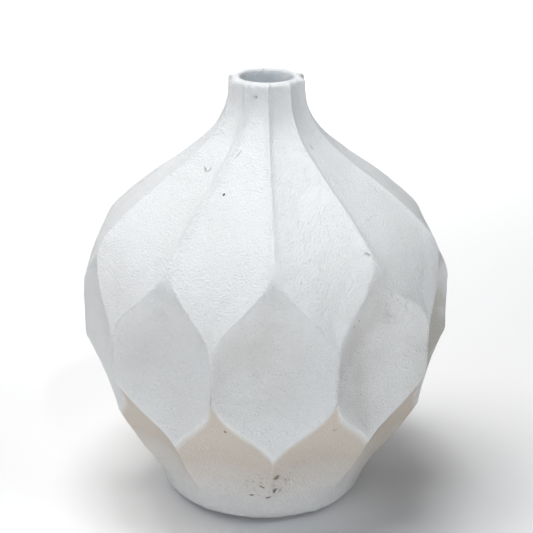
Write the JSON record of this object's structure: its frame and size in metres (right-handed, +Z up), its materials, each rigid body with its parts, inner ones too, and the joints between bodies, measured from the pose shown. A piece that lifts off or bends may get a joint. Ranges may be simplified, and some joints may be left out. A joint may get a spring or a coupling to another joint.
{
  "type": "faceted bottle vase",
  "caption": "Hollow cast bottle vase with a narrow ridged neck, rows of scooped facets round a wide belly, an inner sealing coat and felt foot pads.",
  "frame": {"origin": "on the surface that the vase stands on, on the vase's axis", "axes": "+Z up along the axis of the neck; -Y towards the viewer's neck ridge"},
  "size_m": [0.1868, 0.179, 0.218],
  "materials": {
    "cast_plaster": "matte white with a fine sand texture",
    "sealing_coat": "satin blue-grey brushed coat",
    "felt": "pressed grey felt"
  },
  "bodies": {
    "root": {"vase_body": "cast_plaster", "sealing_coat": "sealing_coat", "foot_pad_1": "felt", "foot_pad_2": "felt", "foot_pad_3": "felt", "foot_pad_4": "felt"}
  },
  "joints": []
}
